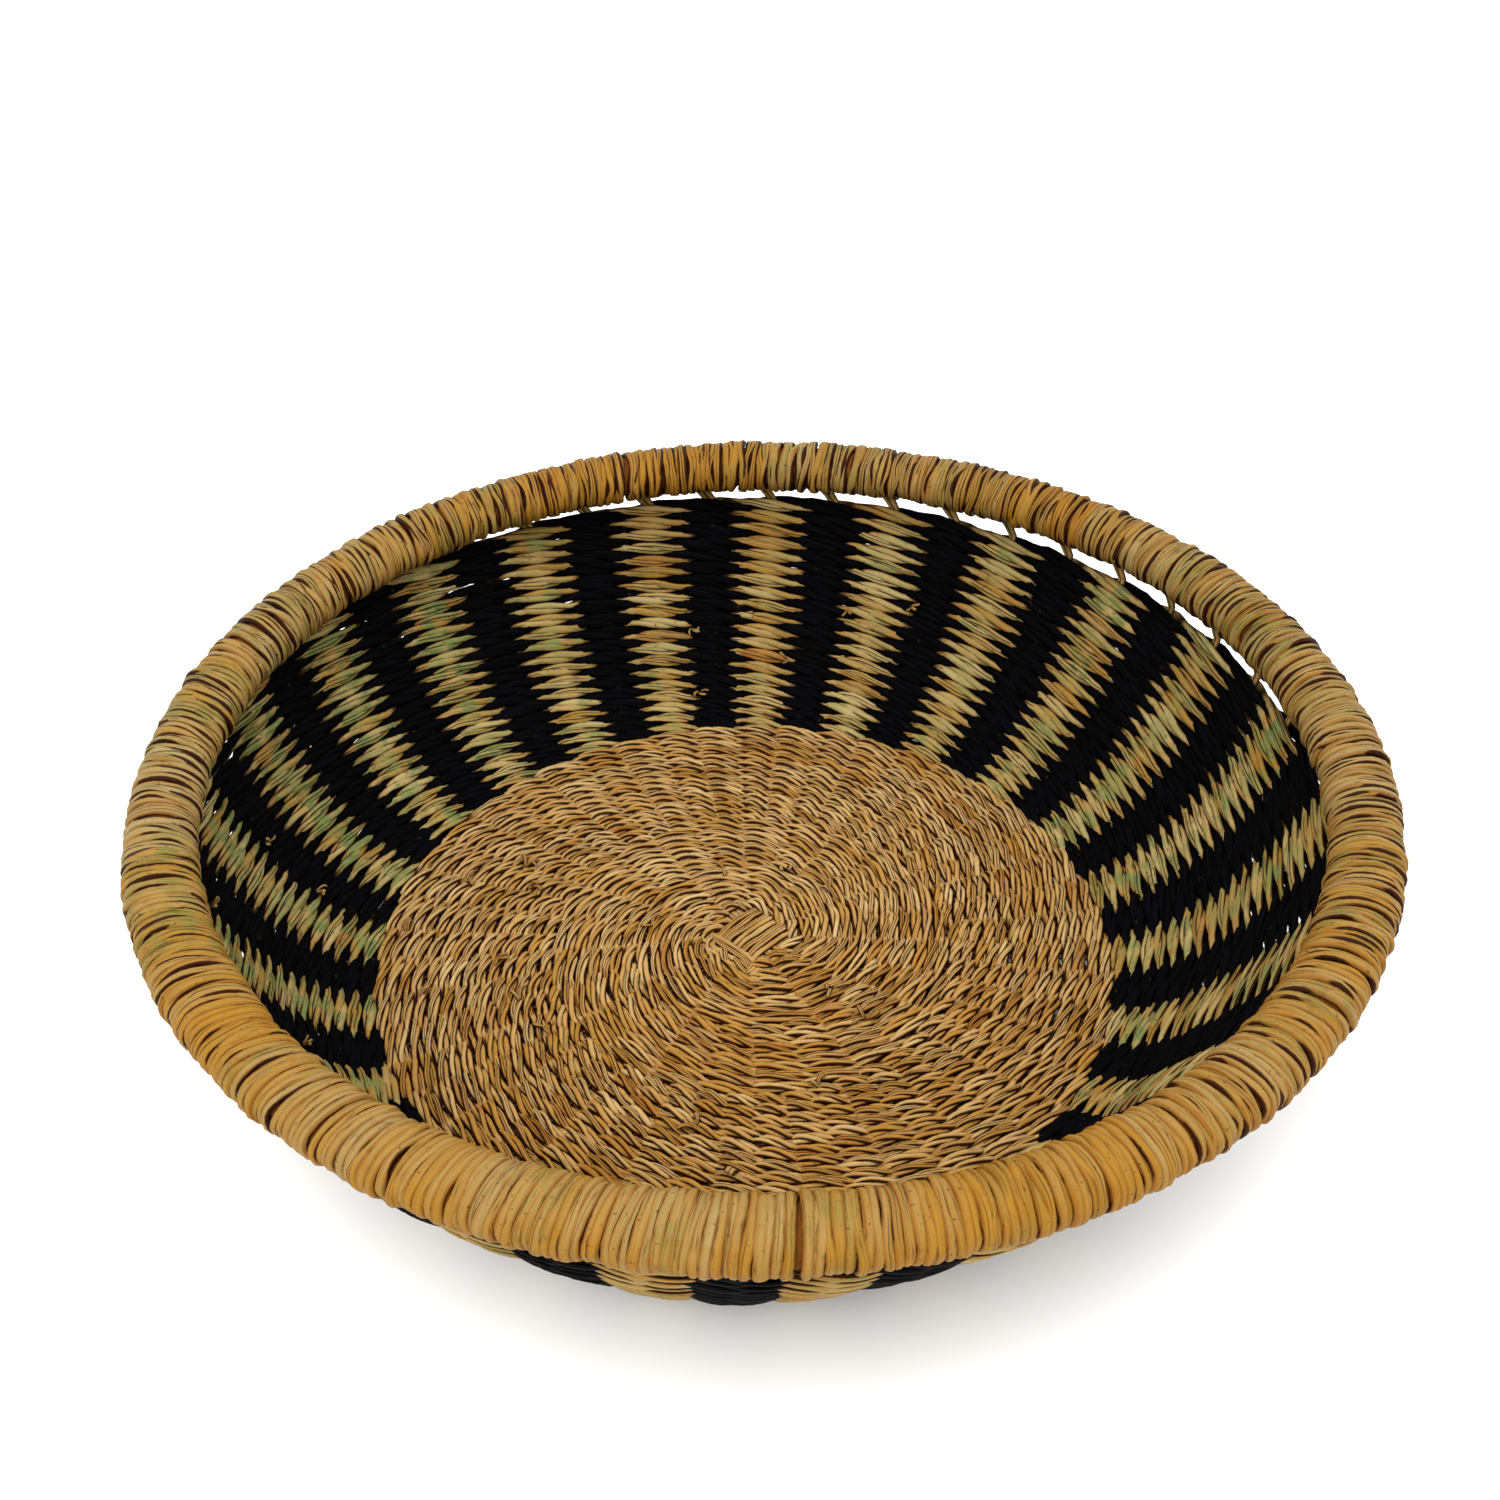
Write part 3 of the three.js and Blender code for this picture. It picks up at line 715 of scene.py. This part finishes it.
class Finish:
    """A material whose nodes are added and wired one by one."""

    def __init__(self, name, **shader):
        self.material = bpy.data.materials.new(name)
        self.material.use_nodes = True
        self.tree = self.material.node_tree
        self.shader = self.tree.nodes["Principled BSDF"]
        for socket, value in shader.items():
            self.shader.inputs[socket.replace("_", " ")].default_value = value

    def add(self, kind, inputs=None, **settings):
        node = self.tree.nodes.new(kind)
        for setting, value in settings.items():
            setattr(node, setting, value)
        for socket, value in (inputs or {}).items():
            self.wire(value, node.inputs[socket])
        return node

    def wire(self, value, socket):
        if isinstance(value, bpy.types.NodeSocket):
            self.tree.links.new(value, socket)
        else:
            socket.default_value = value

    def mark(self, name):
        return self.add("ShaderNodeAttribute", attribute_name=name).outputs["Fac"]

    def range(self, value, low, high, new_low=0.0, new_high=1.0):
        inputs = {"Value": value, "From Min": low, "From Max": high, "To Min": new_low, "To Max": new_high}
        return self.add("ShaderNodeMapRange", inputs).outputs["Result"]

    def math(self, operation, first, second=0.0):
        return self.add("ShaderNodeMath", {0: first, 1: second}, operation=operation).outputs[0]

    def mix(self, part, first, second):
        inputs = {0: part, 6: first, 7: second}
        return self.add("ShaderNodeMix", inputs, data_type="RGBA").outputs[2]

    def grain(self, along, around, detail=3.0):
        """Noise drawn out along the blades, in waves per metre along and around them."""
        uv = self.add("ShaderNodeUVMap", uv_map="Grain").outputs["UV"]
        stretched = self.add("ShaderNodeMapping", {"Vector": uv, "Scale": (along, around, 1)})
        return self.noise(stretched.outputs["Vector"], 1.0, detail)

    def noise(self, vector, scale, detail=2.0):
        inputs = {"Vector": vector, "Scale": scale, "Detail": detail}
        return self.add("ShaderNodeTexNoise", inputs).outputs["Fac"]

    def place(self):
        return self.add("ShaderNodeTexCoord").outputs["Object"]

    def bump(self, height, distance):
        inputs = {"Height": height, "Distance": distance}
        self.wire(self.add("ShaderNodeBump", inputs).outputs["Normal"], self.shader.inputs["Normal"])


# How closely the marks of dried grass lie, in waves a metre: anywhere, and along and around a blade
PATCHES, STAINS, DOTS = 130, 210, 800
FIBRES, FLECKS, VEINS = (45, 2600), (260, 1100), (20, 620)
STAIN_STREAKS = (40, 500)


def natural_grass(name, pale, deep, green, russet, dark, edge_line, dark_depth, warm_tips, warm_edge):
    """Dried grass: pale to deep straw with green growth and russet stalks, with painted shade in its folds
    and between its blades.

    edge_line is where the painted shade line at a blade's edge begins and is full, as shares of its half
    width.
    dark_depth is the same for the painted shade between blades, as shares of the wall's depth.
    """
    pale, deep, green, russet, dark = (srgb(*colour) for colour in (pale, deep, green, russet, dark))
    finish = Finish(name, Specular_IOR_Level=0.06)
    place = finish.place()
    edge = finish.math("ABSOLUTE", finish.mark("side"))
    sunk = finish.mark("sunk")
    growth = finish.mark("green")
    colour = finish.mix(finish.mark("tone"), pale, deep)
    patches = finish.range(finish.noise(place, PATCHES), 0.4, 0.62)
    colour = finish.mix(finish.math("MULTIPLY", patches, growth), colour, green)
    stained = finish.range(finish.noise(place, STAINS, 3.0), 0.55, 0.72, 0.0, 0.6)
    stained = finish.math("MAXIMUM", stained, finish.mark("russet"))
    colour = finish.mix(finish.math("MULTIPLY", stained, finish.grain(*STAIN_STREAKS)), colour, russet)
    colour = finish.mix(finish.range(sunk, 0.3, 0.62, 0.0, warm_tips), colour, russet)
    # Russet towards a blade's edges: partly the grass's own colour, partly a painted shade that rounds the
    # blade
    colour = finish.mix(finish.range(edge, 0.3, 0.75, 0.0, warm_edge), colour, russet)
    fibres = finish.grain(*FIBRES)
    colour = finish.mix(finish.range(fibres, 0.4, 0.66, 0.0, 0.22), colour, finish.mix(0.35, deep, dark))
    flecks = finish.range(finish.grain(*FLECKS, 1.0), 0.62, 0.68)
    flecks = finish.math("MULTIPLY", flecks, finish.range(growth, 0.1, 0.8, 0.1, 0.8))
    colour = finish.mix(flecks, colour, finish.mix(0.55, green, dark))
    veins = finish.math("ABSOLUTE", finish.math("SUBTRACT", finish.grain(*VEINS, 1.0), 0.5))
    colour = finish.mix(finish.range(veins, 0.0, 0.02, 0.6, 0.0), colour, dark)
    # A painted shade darkens the fold of a creased blade
    crease = finish.math("MULTIPLY", finish.range(edge, 0.06, 0.26, 1.0, 0.0), finish.mark("fold"))
    colour = finish.mix(finish.range(crease, 0.1, 0.3, 0.0, 0.85), colour, dark)
    # A painted shade darkens a blade's edges, where it meets its neighbours
    painted_edge_shade = finish.range(finish.math("MULTIPLY", edge, finish.mark("edges")), *edge_line, 0.0, 0.95)
    colour = finish.mix(painted_edge_shade, colour, dark)
    # Painted shade between the blades, darkest deepest in the wall
    colour = finish.mix(finish.range(sunk, *dark_depth, 0.0, 0.95), colour, dark)
    dots = finish.range(finish.noise(place, DOTS, 1.0), 0.71, 0.75, 0.0, 0.6)
    colour = finish.mix(dots, colour, dark)
    finish.wire(colour, finish.shader.inputs["Base Color"])
    finish.wire(finish.range(fibres, 0.3, 0.7, 0.42, 0.62), finish.shader.inputs["Roughness"])
    finish.bump(fibres, 0.12 * MM)
    return finish.material


def black_grass():
    """Dyed grass: near black and dull, with pale fibres partly painted as sheen, a few worn places and
    painted edge shade.
    """
    finish = Finish("black_dyed_grass", Specular_IOR_Level=0.025)
    fibres = finish.grain(40, 2200)
    # Pale streaks along the blade: partly its own fibres, partly a painted sheen
    colour = finish.mix(finish.range(fibres, 0.5, 0.78), srgb(2, 2, 3), srgb(20, 20, 26))
    worn = finish.range(finish.noise(finish.place(), 330, 3.0), 0.69, 0.76, 0.0, 0.3)
    colour = finish.mix(worn, colour, srgb(84, 72, 44))
    # Painted shade darkens each blade towards its edges, where it meets its neighbours
    painted_gap_shade = finish.range(finish.math("ABSOLUTE", finish.mark("side")), 0.6, 1.0, 0.0, 0.9)
    colour = finish.mix(painted_gap_shade, colour, srgb(1, 1, 2))
    finish.wire(colour, finish.shader.inputs["Base Color"])
    finish.wire(finish.range(fibres, 0.3, 0.7, 0.6, 0.85), finish.shader.inputs["Roughness"])
    finish.bump(fibres, 0.2 * MM)
    return finish.material


def core_grass():
    """The bundle of stalks inside the rim, seen only as brown slivers between the wraps."""
    finish = Finish("core_grass", Specular_IOR_Level=0.05)
    stalks = finish.noise(finish.place(), 900)
    colour = finish.mix(stalks, srgb(104, 50, 10), srgb(146, 92, 34))
    finish.wire(colour, finish.shader.inputs["Base Color"])
    finish.wire(finish.range(stalks, 0.3, 0.7, 0.6, 0.85), finish.shader.inputs["Roughness"])
    finish.bump(stalks, 0.4 * MM)
    return finish.material


base_grass = natural_grass(
    "base_grass",
    pale=(214, 181, 122),
    deep=(182, 132, 58),
    green=(142, 134, 62),
    russet=(150, 86, 22),
    dark=(44, 10, 0),
    edge_line=(0.56, 0.76),
    dark_depth=(0.52, 0.84),
    warm_tips=0.2,
    warm_edge=0.4,
)
side_grass = natural_grass(
    "side_grass",
    pale=(192, 174, 116),
    deep=(172, 132, 60),
    green=(116, 140, 82),
    russet=(164, 90, 24),
    dark=(34, 14, 0),
    edge_line=(0.74, 0.9),
    dark_depth=(0.62, 0.9),
    warm_tips=0.3,
    warm_edge=0.26,
)
stake_grass = natural_grass(
    "stake_grass",
    pale=(208, 170, 106),
    deep=(176, 128, 58),
    green=(130, 128, 62),
    russet=(150, 86, 22),
    dark=(44, 10, 0),
    edge_line=(0.54, 0.78),
    dark_depth=(0.66, 0.95),
    warm_tips=0.1,
    warm_edge=0.3,
)
wrap_grass = natural_grass(
    "wrap_grass",
    pale=(164, 146, 98),
    deep=(166, 120, 40),
    green=(118, 122, 60),
    russet=(146, 86, 20),
    dark=(40, 8, 0),
    edge_line=(0.46, 0.6),
    dark_depth=(0.66, 0.95),
    warm_tips=0,
    warm_edge=0.6,
)
dyed_grass = black_grass()


# The woven pieces, and how many sides their blades have
BASE_SIDES, SIDE_SIDES, STAKE_SIDES, WRAP_SIDES = 6, 8, 6, 8
SIDE_MIDDLE = (SIDE_START + SIDE_END) / 2

for rows, name, first, last in (
    (bundle_rows, "bundles", -INNER_TURNS, PAIR_TURN),
    (pair_rows, "pairs", PAIR_TURN, SINGLE_TURN),
    (single_rows, "singles", SINGLE_TURN, SIDE_TURN),
):
    for order, place in ((1, "first"), (-1, "second")):
        plies = strand(rows, BASE_TWIST, order, first, last, base_green)
        if place == "first":
            plies += loose_ends(BASE_ENDS, rows.start, rows.end, longest=6.5 * MM, widest=1.9 * MM)
        if place == "first" and rows is single_rows:
            plies.append(loose_end(*CUT_END, CUT_LENGTH, CUT_WIDTH, curl=0))
        node = f"base_weft_{name}_{place}"
        grass_piece(f"base_{name}_{place}", plies, BASE_SIDES, base_grass, [node])
for level, first, last in (("lower", SIDE_TURN, LOWER_TURN), ("upper", LOWER_TURN, TOP_TURN)):
    for order, colour, twist, material in (
        (1, "black", BLACK_TWIST, dyed_grass),
        (-1, "natural", NATURAL_TWIST, side_grass),
    ):
        plies = strand(side_rows, twist, order, first, last, side_green)
        if colour == "natural":
            low, high = (SIDE_START, SIDE_MIDDLE) if level == "lower" else (SIDE_MIDDLE, SIDE_END)
            plies += loose_ends(SIDE_ENDS, low, high, longest=4.5 * MM, widest=1.2 * MM)
        node = f"side_weft_{colour}_{level}"
        grass_piece(f"side_{colour}_{level}", plies, SIDE_SIDES, material, [node])
for letter, way in (("a", WEAVE_TURN), ("b", WEAVE_TURN + TURN / 4)):
    for place in range(STAKES_PER_WAY):
        node = f"stake_{letter}{place + 1:02d}"
        blades = [stake(way, place, letter == "a")]
        grass_piece(f"{node}_grass", blades, STAKE_SIDES, stake_grass, [node])


# Rim

CORE_WIDTH = 18.6 * MM
CORE_DEPTH = 13.6 * MM
CORE_UNDERSIDE = 85.2 * MM
CORE_SIDES, CORE_STEPS = 20, 180


def rim_core():
    """The oval core of the rim, flat below where the stakes' tails lie."""
    ring = bmesh.new()
    bmesh.ops.create_circle(ring, segments=CORE_SIDES, radius=1)
    for vert in ring.verts:
        across, up, _ = vert.co
        height = max(RIM_HEIGHT + up * CORE_DEPTH / 2, CORE_UNDERSIDE)
        vert.co = (RIM_RADIUS + across * CORE_WIDTH / 2, 0, height)
    profile = ring.verts[:] + ring.edges[:]
    whole_turn = {"cent": (0, 0, 0), "axis": (0, 0, 1), "angle": TURN, "steps": CORE_STEPS}
    bmesh.ops.spin(ring, geom=profile, use_merge=True, **whole_turn)
    bmesh.ops.recalc_face_normals(ring, faces=ring.faces)
    mesh = bpy.data.meshes.new("rim_core_grass")
    ring.to_mesh(mesh)
    ring.free()
    mesh.vertices.foreach_set("co", settle(positions(mesh)).ravel())
    mesh.shade_smooth()
    mesh.materials.append(core_grass())
    return mesh


WRAP_RINGS = 26  # in each turn round the rim
WRAP_LAP = 0.1  # turns past each end of a length's share of the rim
WRAP_WIDTH, WIDTH_WANDERS = 3.5 * MM, (0.7 * MM, 0.35 * MM)
WRAP_THICKNESS, THICKNESS_WANDERS = 2.3 * MM, 0.4 * MM
WRAP_INSET = 1 * MM
LIFT_WANDERS = (0.6 * MM, 0.3 * MM)
WRAP_STRAY, STEADIER_IN_FRONT = 0.8 * MM, 0.35
CROSSING_FROM, CROSSING_RIGHT = 0.6, 0.1
CROSSING_STRAY, CROSSING_LIFT = 6 * MM, 1.5 * MM
WRAP_SLANT, WRAP_SLANT_LEFT = 1.2 * MM, 2.2 * MM
WRAP_TILT, WRAP_ROLL = 8, 16  # degrees


def wrap_marks(angle, around, front):
    """A wrap's marks along its length: richest gold at the front and the back, greener at the sides, with a
    painted light on its top in front.
    """
    count, steps = len(angle), WRAP_RINGS
    rise = np.full(count, HALF_WALL)
    deeper, greener = rng.uniform(-0.25, 0.25), rng.uniform(-0.25, 0.35)
    # In front a wrap's top is painted paler and its underside deeper: a painted light from above
    golden_and_top_lit = 0.5 * np.abs(np.sin(angle)) + 0.3 * front - 0.4 * front * np.sin(around)
    tone = np.clip(0.35 + deeper + golden_and_top_lit + wander(count, steps, 0.35), 0, 1)
    green = 0.3 + greener * (1 - front) - 0.25 * np.abs(np.sin(angle)) + wander(count, 3 * steps, 0.4)
    russet = np.clip(wander(count, 2 * steps, 1) + 0.3 * np.sin(angle) - 0.8, 0, 1) * 2
    crease = (wander(count, steps, 1) > 0.45 - 0.6 * np.sin(angle)) * 0.25
    # How strongly a painted shade darkens the wrap's edges where it meets its neighbours: here and there,
    # less in front
    edges = np.clip(0.8 + wander(count, 3.6, 0.65) - 0.12 * np.cos(angle), 0, 1.3) * (1 - 0.5 * front)
    return rise, tone, green, russet, crease, edges


def rim_wrap(number):
    """One length of grass wound round the rim's core. Here and there a turn crosses the one before."""
    steps = WRAP_RINGS
    count = int((TURNS_PER_WRAP + 2 * WRAP_LAP) * steps) + 1
    wound = np.arange(count) / steps - WRAP_LAP
    from_angle = FIRST_WRAP_EDGE + number * TURN / WRAP_COUNT
    width = WRAP_WIDTH + wander(count, 4, WIDTH_WANDERS[0]) + wander(count, 2.5 * steps, WIDTH_WANDERS[1])
    thickness = WRAP_THICKNESS + wander(count, 5, THICKNESS_WANDERS)
    around = -0.25 * TURN - wound * TURN
    angle = from_angle + wound / TURNS_PER_WRAP * TURN / WRAP_COUNT
    front = np.clip(-np.sin(angle), 0, 1) ** 2
    crossing = np.maximum(wander(count, 0.7 * steps, 1) - CROSSING_FROM - CROSSING_RIGHT * np.cos(angle), 0)
    strayed = wander(count, 3.6, WRAP_STRAY) + wander(count, 12, WRAP_STRAY)
    strayed = strayed * (1 - STEADIER_IN_FRONT * front) + crossing * CROSSING_STRAY
    strayed -= (WRAP_SLANT - WRAP_SLANT_LEFT * np.cos(angle)) * np.cos(around)
    angle += strayed / RIM_RADIUS
    lift = wander(count, 4, LIFT_WANDERS[0]) + wander(count, 5 * steps, LIFT_WANDERS[1])
    lift += crossing * CROSSING_LIFT
    half_wide = RIM_WIDTH / 2 - WRAP_INSET + lift
    half_deep = RIM_DEPTH / 2 - WRAP_INSET + lift
    radius = RIM_RADIUS + half_wide * np.cos(around)
    height = RIM_HEIGHT + half_deep * np.sin(around)
    centre = np.stack([radius * np.cos(angle), radius * np.sin(angle), height], axis=1)
    face_out, face_up = np.cos(around) / half_wide, np.sin(around) / half_deep
    face = unit(np.stack([face_out * np.cos(angle), face_out * np.sin(angle), face_up], axis=1))
    along = unit(np.gradient(centre, axis=0))
    across = unit(np.cross(face, along))
    tilt = np.radians(WRAP_TILT + wander(count, 6, WRAP_ROLL))
    tilted_face = unit(face * np.cos(tilt)[:, None] + across * np.sin(tilt)[:, None])
    across = unit(np.cross(tilted_face, along))
    return Blade(centre, across, tilted_face, width, thickness, *wrap_marks(angle, around, front))


add_piece(rim_core(), ["rim_core"])
for number in range(WRAP_COUNT):
    node = f"rim_wrap_{number + 1:02d}"
    grass_piece(f"{node}_grass", [rim_wrap(number)], WRAP_SIDES, wrap_grass, [node])


# Stage, light and camera
STUDIO_WHITE, STUDIO_STRENGTH = (1, 1, 1, 1), 1.4
LIT_PLACE = (0, 0, 0.05)

floor_mesh = bpy.data.meshes.new("floor")
sheet = bmesh.new()
bmesh.ops.create_grid(sheet, x_segments=1, y_segments=1, size=6)
sheet.to_mesh(floor_mesh)
sheet.free()
floor = bpy.data.objects.new("floor", floor_mesh)
bpy.context.scene.collection.objects.link(floor)
floor_finish = Finish("floor", Base_Color=(0.9, 0.9, 0.9, 1), Roughness=0.9, Specular_IOR_Level=0.1)
floor_mesh.materials.append(floor_finish.material)


def soft_light(name, place, size, watts, colour):
    light = bpy.data.lights.new(name, "AREA")
    light.shape, light.size, light.energy, light.color = "DISK", size, watts, colour
    holder = bpy.data.objects.new(name, light)
    holder.location = place
    holder.rotation_euler = (Vector(LIT_PLACE) - Vector(place)).to_track_quat("-Z", "Y").to_euler()
    bpy.context.scene.collection.objects.link(holder)


soft_light("key_light", (-0.5, -0.9, 1.7), size=1.3, watts=30, colour=(1, 0.98, 0.95))
soft_light("fill_light", (1.2, 0.2, 1.4), size=1.4, watts=12, colour=(0.97, 0.98, 1))
world = bpy.data.worlds.new("studio")
world.use_nodes = True
world.node_tree.nodes["Background"].inputs["Color"].default_value = STUDIO_WHITE
world.node_tree.nodes["Background"].inputs["Strength"].default_value = STUDIO_STRENGTH
bpy.context.scene.world = world
bpy.context.scene.view_settings.view_transform = "Standard"

# The camera, found from the rim's outline in the photograph, in pixels and millimetres of film
PHOTO_SIDE = 1500
FOCAL_PIXELS = 1996
MIDDLE_X, MIDDLE_Y = 763, 764
FILM_SIDE = 36
CAMERA_ELEVATION, CAMERA_ROLL = math.radians(38.64), math.radians(-0.40)
CAMERA_DISTANCE = 3.401 * RIM_RADIUS
camera_data = bpy.data.cameras.new("camera")
camera_data.sensor_width = FILM_SIDE
camera_data.lens = FILM_SIDE * FOCAL_PIXELS / PHOTO_SIDE
camera_data.shift_x = (PHOTO_SIDE / 2 - MIDDLE_X) / PHOTO_SIDE
camera_data.shift_y = (MIDDLE_Y - PHOTO_SIDE / 2) / PHOTO_SIDE
camera = bpy.data.objects.new("camera", camera_data)
camera_back = CAMERA_DISTANCE * math.cos(CAMERA_ELEVATION)
camera_up = CAMERA_DISTANCE * math.sin(CAMERA_ELEVATION)
camera.location = (0, -camera_back, RIM_HEIGHT + camera_up)
camera.rotation_euler = (math.pi / 2 - CAMERA_ELEVATION, 0, 0)
camera.rotation_euler.rotate_axis("Z", CAMERA_ROLL)
bpy.context.scene.collection.objects.link(camera)
bpy.context.scene.camera = camera
